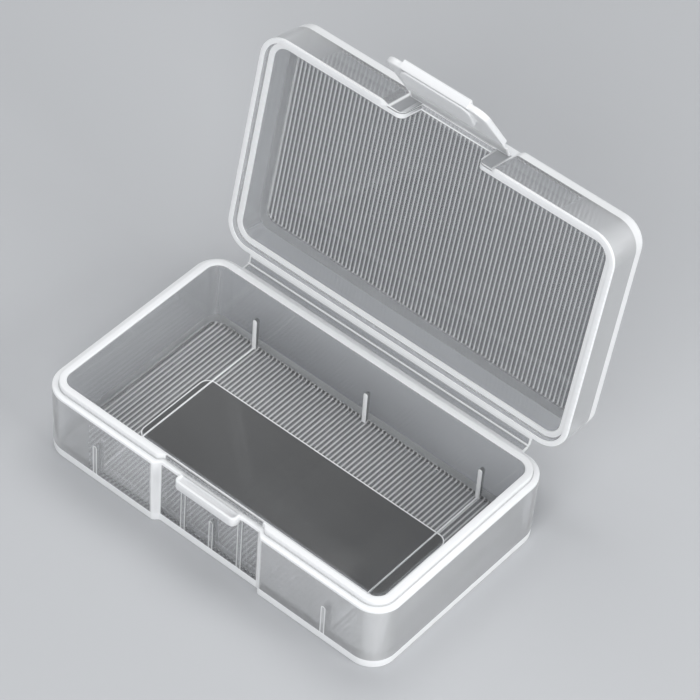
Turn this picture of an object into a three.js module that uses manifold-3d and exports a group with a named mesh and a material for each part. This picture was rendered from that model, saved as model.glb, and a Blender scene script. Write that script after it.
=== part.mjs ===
// Hinged storage case for two cylindrical cells, moulded in one piece in natural polypropylene.
// Millimetres, +Z up. X runs along the case, -Y is the latch side and +Y the hinge side.
// The origin is the middle of the underside. The lid and the latch are shaped in their closed
// places and then swung open about their film hinges.
import * as THREE from "three";
import { mergeVertices } from "three/addons/utils/BufferGeometryUtils.js";
import Module from "manifold-3d";

const wasm = await Module();
wasm.setup();

// Outside of the closed case
const caseLength = 77;
const caseWidth = 45.4;
const trayHeight = 15.1;
const lidHeight = 9.6;
const cornerRadius = 5.1;
const leastRadius = 0.8;

// How far the lid and the latch stand open, in degrees from closed
const lidOpenAngle = 100.6;
const latchOpenAngle = 47;

// Tray walls, floor and rim
const floorThickness = 1.5;
const trayDraft = 0.2;
const footBevel = 0.5;
const rimBand = 1.3;
const trayRimWidth = 2.55;
const shoulderWidth = 1.2;
const lipHeight = 1.05;
const lipRound = 0.25;
const cavityDraft = 0.45;
const floorFillet = 0.5;

// Lid walls, plate and rim
const closingGap = 0.2;
const lidDraft = 0.5;
const lidTopBevel = 0.6;
const lidRimWidth = 2.35;
const plateThickness = 1.5;
const lidCavityDraft = 0.5;

// Front recess, shared by the tray and the lid, and the lid's notch over the catch
const recessHalfWidth = 11.1;
const recessDepth = 1.1;
const jogRun = 1.2;
const thinLip = 0.45;
const notchHalfWidth = 8;
const notchTopDrop = 3;
const notchFillet = 1.5;

// Ribs and ridges inside the tray
const ribSpacing = 26;
const ribThickness = 0.8;
const ribTop = 7.9;
const ribReach = 0.9;
const floorRidgeWidth = 0.5;
const floorRidgeHeight = 0.3;
const stripSpacing = 6.4;
const stripWidth = 0.9;
const stripReach = 0.35;
const stripHeadroom = 0.6;

// Catch ledge on the tray's recessed front wall
const ledgeHalfWidth = 6.8;
const ledgeReach = 1.75;
const ledgeThickness = 1.5;
const ledgeCornerRadius = 1.1;
const ledgeLipHeight = 0.4;
const ledgeLipWidth = 0.55;
const ledgeDish = 0.3;
const ledgeEdge = 0.2;

// Main film hinge: two leaves and the fold between them
const webLength = 64.4;
const leafReach = 1.65;
const filmThickness = 0.25;
const rootThickness = 0.5;
const rootWidth = 0.45;
const foldGap = 0.15;
const seam = 0.3;

// Latch: its film hinge, flap, hook and grip
const latchWidth = 21.5;
const latchLength = 14.3;
const latchFoldReach = 2.25;
const latchFoldDrop = 1.3;
const latchLeafLength = 1.2;
const latchClearance = 0.25;
const flapThickness = 1.2;
const flapCornerRadius = 2.5;
const flapEdge = 0.3;
const hookHalfWidth = 7.6;
const hookReach = 0.85;
const hookThickness = 1;
const hookClearance = 0.35;
const hookFootReach = 0.3;
const hookFootMargin = 0.7;
const hookCornerRadius = 2;
const gripHalfWidth = 7.2;
const gripReach = 0.5;
const gripHeight = 2.4;
const gripOverhang = 0.2;

// Fine reeds along Y on the tray's underside and the lid's top, and the smooth label panel
const reedPitch = 0.89;
const reedDepth = 0.14;
const reedBorder = 2.25;
const reedCornerRadius = 2.8;
const labelHalfLength = 27.9;
const labelHalfWidth = 9.2;
const labelCornerRadius = 1.9;

// How far cutting tools run past what they cut
const overrun = 1;

// Points in each rounded corner
const cornerSteps = 7;

// Places that follow from the sizes
const lipTop = trayHeight + lipHeight;
const lidRim = trayHeight + closingGap;
const lidTop = trayHeight + lidHeight;
const frontFace = -caseWidth / 2;
const recessFace = frontFace + recessDepth;
const hingeFold = new THREE.Vector3(0, caseWidth / 2 + leafReach, trayHeight);
const notchTop = lidTop - notchTopDrop;
const latchFold = new THREE.Vector3(0, recessFace - latchFoldReach, notchTop - latchFoldDrop);
const ledgeFront = recessFace - ledgeReach;
const flapInner = ledgeFront - latchClearance;
const ledgeBottom = trayHeight - ledgeThickness;

function roundedRectangle(halfLength, halfWidth, radius) {
  const points = [];
  const corners = [[1, 1], [-1, 1], [-1, -1], [1, -1]];
  corners.forEach(([signX, signY], index) => {
    const centreX = signX * (halfLength - radius);
    const centreY = signY * (halfWidth - radius);
    for (let step = 0; step <= cornerSteps; step += 1) {
      const angle = (Math.PI / 2) * (index + step / cornerSteps);
      points.push(new THREE.Vector2(centreX + radius * Math.cos(angle), centreY + radius * Math.sin(angle)));
    }
  });
  return points;
}

// The case's outline, drawn in by an inset with its corners following
function outline(inset) {
  const radius = Math.max(cornerRadius - inset, leastRadius);
  return roundedRectangle(caseLength / 2 - inset, caseWidth / 2 - inset, radius);
}

// A closed body through level rings of outline points, bottom ring first
function loft(rings) {
  const count = rings[0].points.length;
  const positions = rings.flatMap(({ z, points }) => points.flatMap((point) => [point.x, point.y, z]));
  const indices = [];
  for (let ring = 0; ring < rings.length - 1; ring += 1) {
    for (let i = 0; i < count; i += 1) {
      const low = ring * count + i;
      const lowNext = ring * count + ((i + 1) % count);
      indices.push(low, lowNext, lowNext + count, low, lowNext + count, low + count);
    }
  }
  const lastRing = (rings.length - 1) * count;
  THREE.ShapeUtils.triangulateShape(rings[0].points, []).forEach(([a, b, c]) => indices.push(c, b, a));
  THREE.ShapeUtils.triangulateShape(rings.at(-1).points, []).forEach(([a, b, c]) => {
    indices.push(lastRing + a, lastRing + b, lastRing + c);
  });
  const geometry = new THREE.BufferGeometry();
  geometry.setAttribute("position", new THREE.Float32BufferAttribute(positions, 3));
  geometry.setIndex(indices);
  return geometry;
}

function solid(geometry) {
  const bare = geometry.clone();
  bare.deleteAttribute("normal");
  bare.deleteAttribute("uv");
  const merged = mergeVertices(bare);
  return new wasm.Manifold(new wasm.Mesh({
    numProp: 3,
    vertProperties: new Float32Array(merged.attributes.position.array),
    triVerts: new Uint32Array(merged.index.array),
  }));
}

function geometryOf(body) {
  const mesh = body.getMesh();
  const geometry = new THREE.BufferGeometry();
  geometry.setAttribute("position", new THREE.BufferAttribute(new Float32Array(mesh.vertProperties), 3));
  geometry.setIndex(new THREE.BufferAttribute(new Uint32Array(mesh.triVerts), 1));
  geometry.computeVertexNormals();
  return geometry;
}

function loftSolid(sections) {
  return solid(loft(sections.map(([z, inset]) => ({ z, points: outline(inset) }))));
}

function extrude(shape, depth) {
  return new THREE.ExtrudeGeometry(shape, { depth, bevelEnabled: false, steps: 1, curveSegments: cornerSteps });
}

// A plan outline in X and Y, raised from one height to another
function raised(points, low, high) {
  return solid(extrude(new THREE.Shape(points), high - low).translate(0, 0, low));
}

// A profile in Y and Z, run along X on both sides of the middle
function alongX(profile, halfLength) {
  const geometry = extrude(new THREE.Shape(profile.map(([y, z]) => new THREE.Vector2(y, z))), 2 * halfLength);
  geometry.translate(0, 0, -halfLength);
  geometry.applyMatrix4(new THREE.Matrix4().makeBasis(
    new THREE.Vector3(0, 1, 0),
    new THREE.Vector3(0, 0, 1),
    new THREE.Vector3(1, 0, 0),
  ));
  return solid(geometry);
}

// A face shape in X and Z, run along Y from one place to another
function alongY(shape, from, to) {
  const geometry = extrude(shape, to - from);
  geometry.rotateX(Math.PI / 2);
  geometry.translate(0, to, 0);
  return solid(geometry);
}

function box(lowX, highX, lowY, highY, lowZ, highZ) {
  const geometry = new THREE.BoxGeometry(highX - lowX, highY - lowY, highZ - lowZ);
  geometry.translate((lowX + highX) / 2, (lowY + highY) / 2, (lowZ + highZ) / 2);
  return solid(geometry);
}

// The recess in the front wall, with its sloping jogs at both ends
function recessTool(low, high) {
  const outerHalf = recessHalfWidth + jogRun;
  const points = [
    [-recessHalfWidth, recessFace],
    [-outerHalf, frontFace],
    [-outerHalf, frontFace - overrun],
    [outerHalf, frontFace - overrun],
    [outerHalf, frontFace],
    [recessHalfWidth, recessFace],
  ];
  return raised(points.map(([x, y]) => new THREE.Vector2(x, y)), low, high);
}

// What the reeds leave out of a face at one height: a row of ridges under a rounded panel.
// It cuts upward from below the face, or downward from above it.
function reedTool(height, upward) {
  const halfLength = caseLength / 2 - reedBorder;
  const halfWidth = caseWidth / 2 - reedBorder;
  const count = Math.floor((2 * halfLength) / reedPitch / 2) * 2;
  const start = (-count * reedPitch) / 2;
  const deep = height + upward * reedDepth;
  const shape = new THREE.Shape();
  shape.moveTo(start, height - upward * overrun);
  shape.lineTo(start, height);
  for (let reed = 0; reed < count; reed += 1) {
    shape.lineTo(start + (reed + 1 / 2) * reedPitch, deep);
    shape.lineTo(start + (reed + 1) * reedPitch, height);
  }
  shape.lineTo(start + count * reedPitch, height - upward * overrun);
  shape.closePath();
  const row = alongY(shape, -halfWidth, halfWidth);
  const plan = roundedRectangle(halfLength, halfWidth, reedCornerRadius);
  return row.intersect(raised(plan, height - 2 * overrun, height + 2 * overrun));
}

// An upright rib with a round head, standing on the floor against a long wall
function wallRib(x, side, thickness, top, reach) {
  const shape = new THREE.Shape();
  const half = thickness / 2;
  shape.moveTo(x - half, floorThickness - floorFillet);
  shape.lineTo(x + half, floorThickness - floorFillet);
  shape.lineTo(x + half, top - half);
  shape.absarc(x, top - half, half, 0, Math.PI, false);
  shape.closePath();
  const wallOutside = caseWidth / 2 - shoulderWidth - thinLip;
  const ribInside = caseWidth / 2 - trayRimWidth - cavityDraft - reach;
  return side > 0 ? alongY(shape, ribInside, wallOutside) : alongY(shape, -wallOutside, -ribInside);
}

function trayGeometry() {
  const shell = loftSolid([
    [0, trayDraft + footBevel],
    [footBevel, trayDraft],
    [trayHeight - rimBand, 0],
    [trayHeight, 0],
    [trayHeight, shoulderWidth],
    [lipTop - lipRound, shoulderWidth],
    [lipTop, shoulderWidth + lipRound],
  ]);
  const floorInset = trayRimWidth + cavityDraft;
  const cavity = loftSolid([
    [floorThickness, floorInset + floorFillet],
    [floorThickness + floorFillet, floorInset],
    [lipTop, trayRimWidth],
    [lipTop + overrun, trayRimWidth],
  ]);
  const thinLipFace = frontFace + trayRimWidth - thinLip;
  const lipSetBack = box(
    -recessHalfWidth, recessHalfWidth,
    frontFace, thinLipFace,
    trayHeight, lipTop + overrun,
  );
  let tray = shell.subtract(cavity);
  for (const side of [-1, 1]) {
    for (const x of [-ribSpacing, 0, ribSpacing]) {
      tray = tray.add(wallRib(x, side, ribThickness, ribTop, ribReach));
    }
  }
  const ridgeHalf = caseWidth / 2 - trayRimWidth - cavityDraft;
  for (const x of [-ribSpacing, ribSpacing]) {
    tray = tray.add(box(
      x - floorRidgeWidth / 2, x + floorRidgeWidth / 2,
      -ridgeHalf, ridgeHalf,
      floorThickness - floorFillet, floorThickness + floorRidgeHeight,
    ));
  }
  for (const x of [-stripSpacing, stripSpacing]) {
    tray = tray.add(wallRib(x, -1, stripWidth, trayHeight - stripHeadroom, stripReach));
  }
  tray = tray.subtract(recessTool(-overrun, trayHeight)).subtract(lipSetBack);
  const label = raised(
    roundedRectangle(labelHalfLength, labelHalfWidth, labelCornerRadius),
    -2 * overrun, 2 * overrun,
  );
  return geometryOf(tray.subtract(reedTool(0, 1).subtract(label)));
}

// The ledge that the latch hooks under: a dished shelf with a raised front lip and round ends
function ledgeGeometry() {
  const lipTopZ = trayHeight + ledgeLipHeight;
  const dishZ = trayHeight - ledgeDish;
  const profile = [
    [recessFace, ledgeBottom],
    [recessFace, trayHeight],
    [recessFace - ledgeDish, trayHeight],
    [recessFace - 2 * ledgeDish, dishZ],
    [ledgeFront + ledgeLipWidth + ledgeDish, dishZ],
    [ledgeFront + ledgeLipWidth, lipTopZ],
    [ledgeFront + ledgeEdge, lipTopZ],
    [ledgeFront, lipTopZ - ledgeEdge],
    [ledgeFront, ledgeBottom + ledgeEdge],
    [ledgeFront + ledgeEdge, ledgeBottom],
  ];
  const shelf = alongX(profile.reverse(), ledgeHalfWidth);
  const plan = new THREE.Shape();
  plan.moveTo(-ledgeHalfWidth, recessFace);
  plan.lineTo(-ledgeHalfWidth, ledgeFront + ledgeCornerRadius);
  plan.absarc(
    -ledgeHalfWidth + ledgeCornerRadius, ledgeFront + ledgeCornerRadius,
    ledgeCornerRadius, Math.PI, 1.5 * Math.PI, false,
  );
  plan.absarc(
    ledgeHalfWidth - ledgeCornerRadius, ledgeFront + ledgeCornerRadius,
    ledgeCornerRadius, 1.5 * Math.PI, 2 * Math.PI, false,
  );
  plan.lineTo(ledgeHalfWidth, recessFace);
  plan.closePath();
  const envelope = solid(extrude(plan, ledgeThickness + 2 * overrun).translate(0, 0, ledgeBottom - overrun));
  return geometryOf(shelf.intersect(envelope));
}

// One leaf of the main film hinge: thick at its root, thin film up to the fold.
// It lies under the closing plane on the tray and over it on the lid.
function mainLeafGeometry(side) {
  const root = caseWidth / 2 + seam;
  const end = hingeFold.y - foldGap;
  const flat = trayHeight + side * foldGap;
  const profile = [
    [root, flat],
    [end, flat],
    [end, flat + side * filmThickness],
    [root + rootWidth, flat + side * filmThickness],
    [root + rootWidth - filmThickness, flat + side * rootThickness],
    [root, flat + side * rootThickness],
  ];
  return geometryOf(alongX(side > 0 ? profile : profile.reverse(), webLength / 2));
}

function lidGeometry() {
  const shell = loftSolid([
    [lidRim, 0],
    [lidRim + rimBand, 0],
    [lidTop - lidTopBevel, lidDraft],
    [lidTop, lidDraft + lidTopBevel],
  ]);
  const lipSeatInset = shoulderWidth - closingGap;
  const lipSeat = loftSolid([
    [lidRim - overrun, lipSeatInset],
    [lipTop + closingGap, lipSeatInset],
  ]);
  const plateInner = lidTop - plateThickness;
  const cavityInset = lidRimWidth + lidCavityDraft;
  const cavity = loftSolid([
    [lidRim - overrun, lidRimWidth],
    [lipTop + closingGap, lidRimWidth],
    [plateInner - floorFillet, cavityInset],
    [plateInner, cavityInset + floorFillet],
  ]);
  const rimEdge = lipTop + closingGap;
  const mouth = notchHalfWidth + notchFillet;
  const notch = new THREE.Shape();
  notch.moveTo(-mouth, lidRim - overrun);
  notch.lineTo(mouth, lidRim - overrun);
  notch.lineTo(mouth, rimEdge);
  notch.absarc(mouth, rimEdge + notchFillet, notchFillet, 1.5 * Math.PI, Math.PI, true);
  notch.lineTo(notchHalfWidth, notchTop);
  notch.lineTo(-notchHalfWidth, notchTop);
  notch.lineTo(-notchHalfWidth, rimEdge + notchFillet);
  notch.absarc(-mouth, rimEdge + notchFillet, notchFillet, 0, -Math.PI / 2, true);
  notch.closePath();
  const notchTool = alongY(notch, frontFace - overrun, frontFace + cavityInset + overrun);
  const lid = shell.subtract(lipSeat).subtract(cavity).subtract(recessTool(lidRim - overrun, lidTop + overrun));
  return geometryOf(lid.subtract(notchTool).subtract(reedTool(lidTop, -1)));
}

// The lid's leaf of the latch hinge, sloping out and down from the recessed wall over the notch
function latchLidLeafGeometry() {
  const root = recessFace - seam;
  const rootLow = notchTop + foldGap;
  const end = latchFold.y + foldGap;
  const endLow = latchFold.z + foldGap;
  const shoulder = rootLow + filmThickness - (rootWidth * (rootLow - endLow)) / (root - end);
  const profile = [
    [end, endLow],
    [root, rootLow],
    [root, rootLow + rootThickness],
    [root - rootWidth + filmThickness, rootLow + rootThickness],
    [root - rootWidth, shoulder],
    [end, endLow + filmThickness],
  ];
  return geometryOf(alongX(profile, latchWidth / 2));
}

// The latch's own leaf, hanging from the fold down to the flap
function latchFlapLeafGeometry() {
  const top = latchFold.z - foldGap;
  return geometryOf(box(
    -latchWidth / 2, latchWidth / 2,
    flapInner - filmThickness, flapInner,
    top - latchLeafLength, top,
  ));
}

// The flap with its hook inside and its grip outside, hanging closed in front of the ledge
function flapGeometry() {
  const top = latchFold.z - foldGap - latchLeafLength - seam;
  const bottom = latchFold.z - latchLength;
  const half = latchWidth / 2;
  const face = new THREE.Shape();
  face.moveTo(-half, top);
  face.lineTo(-half, bottom + flapCornerRadius);
  face.absarc(-half + flapCornerRadius, bottom + flapCornerRadius, flapCornerRadius, Math.PI, 1.5 * Math.PI, false);
  face.absarc(half - flapCornerRadius, bottom + flapCornerRadius, flapCornerRadius, 1.5 * Math.PI, 2 * Math.PI, false);
  face.lineTo(half, top);
  face.closePath();
  const flapOuter = flapInner - flapThickness;
  const slab = alongY(face, flapOuter, flapInner);
  const hookTop = ledgeBottom - hookClearance;
  const hookTip = flapInner + hookReach;
  const hookFoot = bottom + hookFootMargin;
  const wedge = alongX([
    [flapInner - flapEdge, hookFoot],
    [flapInner + hookFootReach, hookFoot],
    [hookTip, hookTop - hookThickness],
    [hookTip, hookTop],
    [flapInner - flapEdge, hookTop],
  ], hookHalfWidth);
  const hookMiddle = (hookTop + hookFoot) / 2;
  const hookFace = roundedRectangle(hookHalfWidth, (hookTop - hookFoot) / 2, hookCornerRadius)
    .map((point) => new THREE.Vector2(point.x, point.y + hookMiddle));
  const hook = wedge.intersect(alongY(new THREE.Shape(hookFace), flapOuter, hookTip + overrun));
  const gripBottom = bottom - gripOverhang;
  const grip = alongX([
    [flapOuter + flapEdge, gripBottom + gripHeight],
    [flapOuter, gripBottom + gripHeight],
    [flapOuter - gripReach, gripBottom + flapEdge],
    [flapOuter - gripReach, gripBottom],
    [flapInner - flapEdge, gripBottom],
    [flapInner, gripBottom + flapEdge],
    [flapInner, gripBottom + gripHeight],
  ], gripHalfWidth);
  return geometryOf(slab.add(hook).add(grip));
}

function plastic(opacity, roughness) {
  return new THREE.MeshStandardMaterial({ color: 0xe6e9ec, roughness, metalness: 0, transparent: true, opacity });
}

function piece(name, geometry, material) {
  const mesh = new THREE.Mesh(geometry, material);
  mesh.name = name;
  return mesh;
}

// A group that swings open about a fold line along X. Its pieces are shaped closed in the case's
// own frame, so each is moved back by the fold's place.
function swungGroup(fold, parentFold, openAngle, pieces) {
  const group = new THREE.Group();
  group.position.copy(fold).sub(parentFold);
  group.rotation.x = -THREE.MathUtils.degToRad(openAngle);
  pieces.forEach((mesh) => {
    mesh.position.copy(fold).negate();
    group.add(mesh);
  });
  return group;
}

const latch = swungGroup(latchFold, hingeFold, latchOpenAngle, [
  piece("latch_flap", flapGeometry(), plastic(0.55, 0.35)),
  piece("latch_hinge_leaf", latchFlapLeafGeometry(), plastic(0.4, 0.3)),
]);
const lid = swungGroup(hingeFold, new THREE.Vector3(), lidOpenAngle, [
  piece("lid_shell", lidGeometry(), plastic(0.45, 0.35)),
  piece("lid_hinge_leaf", mainLeafGeometry(1), plastic(0.4, 0.3)),
  piece("latch_mount_leaf", latchLidLeafGeometry(), plastic(0.4, 0.3)),
]);
lid.add(latch);

const storageCase = new THREE.Group();
storageCase.add(piece("base_tray", trayGeometry(), plastic(0.45, 0.35)));
storageCase.add(piece("catch_ledge", ledgeGeometry(), plastic(0.55, 0.35)));
storageCase.add(piece("base_hinge_leaf", mainLeafGeometry(-1), plastic(0.4, 0.3)));
storageCase.add(lid);

export default storageCase;
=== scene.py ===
# Hinged storage case for two cylindrical cells, moulded in natural translucent polypropylene.
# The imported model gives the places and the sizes; this script makes the finished surfaces.
import math

import bmesh
import bpy
from mathutils import Matrix, Vector


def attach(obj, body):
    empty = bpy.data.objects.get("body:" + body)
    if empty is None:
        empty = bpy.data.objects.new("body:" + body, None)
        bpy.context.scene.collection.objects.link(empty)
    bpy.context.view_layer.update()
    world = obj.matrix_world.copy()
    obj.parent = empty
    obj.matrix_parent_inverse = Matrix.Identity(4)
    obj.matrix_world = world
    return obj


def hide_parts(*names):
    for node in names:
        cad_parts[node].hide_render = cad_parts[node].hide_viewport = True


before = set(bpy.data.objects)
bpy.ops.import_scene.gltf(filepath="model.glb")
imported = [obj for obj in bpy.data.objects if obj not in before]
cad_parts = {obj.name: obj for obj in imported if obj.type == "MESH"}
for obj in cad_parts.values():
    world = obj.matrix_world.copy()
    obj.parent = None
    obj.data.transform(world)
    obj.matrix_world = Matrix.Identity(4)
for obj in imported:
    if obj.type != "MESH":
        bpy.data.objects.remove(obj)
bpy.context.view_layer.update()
mm = 0.001

# The studio: a plain pale table that runs back into the distance under a pale sky, and a broad soft
# lamp above and behind the case, one in front and one at the side, so that the rims catch light.
# The camera was fitted to the photo in hundredths of the case's length.
floor_grey = (0.5, 0.51, 0.525, 1)
floor_roughness = 0.9
floor_half_size = 3.0
sky_colour = (0.8, 0.82, 0.85, 1)
sky_strength = 0.42
fit_unit = 0.77 * mm
camera_azimuth = math.radians(37.07)
camera_elevation = math.radians(46.35)
camera_roll = math.radians(4.68)
camera_distance = 796.6 * fit_unit
camera_aim = (13.51 * fit_unit, 30.66 * fit_unit)
camera_lens = 180.75
camera_sensor = 36
camera_clip = 0.01


def place_camera():
    """The camera's azimuth and elevation turn round the origin, and its roll tips the picture."""
    back = Vector((
        math.sin(camera_azimuth) * math.cos(camera_elevation),
        -math.cos(camera_azimuth) * math.cos(camera_elevation),
        math.sin(camera_elevation),
    ))
    level = Vector((math.cos(camera_azimuth), math.sin(camera_azimuth), 0))
    upright = back.cross(level)
    right = level * math.cos(camera_roll) + upright * math.sin(camera_roll)
    up = upright * math.cos(camera_roll) - level * math.sin(camera_roll)
    place = right * camera_aim[0] + up * camera_aim[1] + back * camera_distance
    data = bpy.data.cameras.new("photo_camera")
    data.lens = camera_lens
    data.sensor_width = camera_sensor
    data.clip_start = camera_clip
    camera = bpy.data.objects.new("photo_camera", data)
    turn = Matrix((right, up, back)).transposed().to_4x4()
    camera.matrix_world = Matrix.Translation(place) @ turn
    bpy.context.collection.objects.link(camera)
    bpy.context.scene.camera = camera


def place_lamp(name, place, aim, size, watts):
    """A soft lamp of a size in metres, turned to its aim."""
    data = bpy.data.lights.new(name, "AREA")
    data.shape = "RECTANGLE"
    data.size, data.size_y = size
    data.energy = watts
    lamp = bpy.data.objects.new(name, data)
    lamp.matrix_world = Matrix.Translation(place) @ (
        (Vector(aim) - Vector(place)).to_track_quat("-Z", "Y").to_matrix().to_4x4()
    )
    bpy.context.collection.objects.link(lamp)


def make_floor():
    mesh = bpy.data.meshes.new("table_top")
    reach = floor_half_size
    corners = [(-reach, -reach, 0), (reach, -reach, 0), (reach, reach, 0), (-reach, reach, 0)]
    mesh.from_pydata(corners, [], [(0, 1, 2, 3)])
    material = bpy.data.materials.new("table_paper")
    material.use_nodes = True
    surface = material.node_tree.nodes["Principled BSDF"]
    surface.inputs["Base Color"].default_value = floor_grey
    surface.inputs["Roughness"].default_value = floor_roughness
    mesh.materials.append(material)
    table = bpy.data.objects.new("table_top", mesh)
    bpy.context.collection.objects.link(table)


place_camera()
place_lamp("lamp_above", place=(-0.15, 0.3, 0.8), aim=(0, 0.02, 0.02), size=(0.7, 0.5), watts=2.9)
place_lamp("lamp_front", place=(0.3, -0.7, 0.5), aim=(0, 0, 0.03), size=(0.6, 0.5), watts=4.6)
place_lamp("lamp_side", place=(0.75, 0.05, 0.35), aim=(0, 0, 0.03), size=(0.4, 0.4), watts=3.2)
make_floor()

world = bpy.data.worlds.new("studio")
world.use_nodes = True
world.node_tree.nodes["Background"].inputs["Color"].default_value = sky_colour
world.node_tree.nodes["Background"].inputs["Strength"].default_value = sky_strength
bpy.context.scene.world = world
bpy.context.scene.view_settings.view_transform = "Standard"


# The tray: the lower shell of the moulding, in natural polypropylene 2.5 to 3 mm thick. Its rim
# steps up from a shoulder to a locating lip, the front wall is set back under the latch, and its
# underside is reeded round a smooth label panel.
case_length = 77 * mm
case_width = 45.4 * mm
corner_radius = 5.1 * mm
recess_half = 11.1 * mm
recess_depth = 1.1 * mm
jog_run = 1.2 * mm
tray_height = 15.1 * mm
floor_thickness = 1.5 * mm
lip_top = 16.15 * mm
front_face = -case_width / 2
recess_face = front_face + recess_depth
reed_pitch = 0.89 * mm
reed_depth = 0.14 * mm
reed_border = 2.25 * mm
reed_corner = 2.8 * mm
label_size = (55.8 * mm, 18.4 * mm)
label_corner = 1.9 * mm
rib_spacing = 26 * mm
rib_thickness = 0.8 * mm
rib_top = 8.7 * mm
strip_spacing = 6.4 * mm
strip_thickness = 0.9 * mm
strip_top = 14.5 * mm


class Maths:
    """A socket that takes part in Python expressions, each of which adds its Math node."""

    def __init__(self, tree, socket):
        self.tree = tree
        self.socket = socket

    def math(self, operation, *others):
        node = self.tree.nodes.new("ShaderNodeMath")
        node.operation = operation
        for index, value in enumerate((self, *others)):
            self.feed(node.inputs[index], value)
        return Maths(self.tree, node.outputs[0])

    def feed(self, entry, value):
        if isinstance(value, Maths):
            self.tree.links.new(value.socket, entry)
        else:
            entry.default_value = value

    def reflected(self, operation, other):
        node = self.tree.nodes.new("ShaderNodeMath")
        node.operation = operation
        node.inputs[0].default_value = other
        self.feed(node.inputs[1], self)
        return Maths(self.tree, node.outputs[0])

    def __add__(self, other):
        return self.math("ADD", other)

    __radd__ = __add__

    def __mul__(self, other):
        return self.math("MULTIPLY", other)

    __rmul__ = __mul__

    def __sub__(self, other):
        return self.math("SUBTRACT", other)

    def __rsub__(self, other):
        return self.reflected("SUBTRACT", other)

    def __truediv__(self, other):
        return self.math("DIVIDE", other)

    def __abs__(self):
        return self.math("ABSOLUTE")

    def at_least(self, other):
        return self.math("MAXIMUM", other)

    def at_most(self, other):
        return self.math("MINIMUM", other)

    def root(self):
        return self.math("SQRT")

    def ramp(self, low, high):
        """0 below low, 1 above high and straight between them."""
        return ((self - low) / (high - low)).at_least(0).at_most(1)


class Nodes:
    """Adds nodes to one tree: a type, its settings, and the values or links of its sockets, which
    are named with _ for each space, or _0, _1 and so on by their place."""

    def __init__(self, tree):
        self.tree = tree

    def add(self, kind, settings=None, **sockets):
        node = self.tree.nodes.new(kind)
        for name, value in (settings or {}).items():
            setattr(node, name, value)
        for name, value in sockets.items():
            key = int(name[1:]) if name[0] == "_" else name.replace("_", " ")
            entry = node.inputs[key]
            if isinstance(value, Maths):
                value = value.socket
            if isinstance(value, bpy.types.NodeSocket):
                self.tree.links.new(value, entry)
            else:
                entry.default_value = value
        return node

    def value(self, socket):
        return Maths(self.tree, socket)


def rounded_panel_distance(x, y, half_length, half_width, corner):
    """Distance outside a rounded rectangle round the middle, below 0 inside it."""
    over_x = abs(x) - (half_length - corner)
    over_y = abs(y) - (half_width - corner)
    out_x = over_x.at_least(0)
    out_y = over_y.at_least(0)
    inside = over_x.math("MAXIMUM", over_y).at_most(0)
    return (out_x * out_x + out_y * out_y).root() + inside - corner


# The plastic: its tones, how milky it is, and the painted light and painted shade of its reeds, label, ribs
# and strips.
# Pairs are the low and the high end of a ramp.
clear_tone = (0.76, 0.77, 0.785, 1)
milky_tone = (0.89, 0.9, 0.91, 1)
refraction = 1.49
shell_haze = 0.24
flow_scale = 38
flow_haze = 0.06
flow_roughness = 0.05
peel_scale = 900
peel_strength = 0.02
peel_height = 0.1 * mm
ridge_haze = 0.3
milky_roughness = 0.5
milky_transmission = 0.05
plate_reach = (0.4 * mm, 0.5 * mm)
reed_border_fade = (-0.15 * mm, -0.05 * mm)
reed_label_fade = (0, 0.1 * mm)
reed_line = (-0.35, 0.95)
label_line = (0.08 * mm, 0.15 * mm)
label_shift = (1.0 * mm, -1.1 * mm)
# The painted light of the ribs and the strips behind the front wall: its shift, its top, where the front wall
# ends, its outline and its fill.
mark_shift = 0.5 * mm
mark_top = rib_top + 0.2 * mm
mark_front = (front_face + 1.4 * mm, front_face + 1.5 * mm)
painted_rib_outline = (0.07 * mm, 0.15 * mm)
painted_rib_outline_haze = 0.5
painted_rib_fill = (-0.05 * mm, 0.05 * mm)
painted_rib_fill_haze = 0.12


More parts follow.
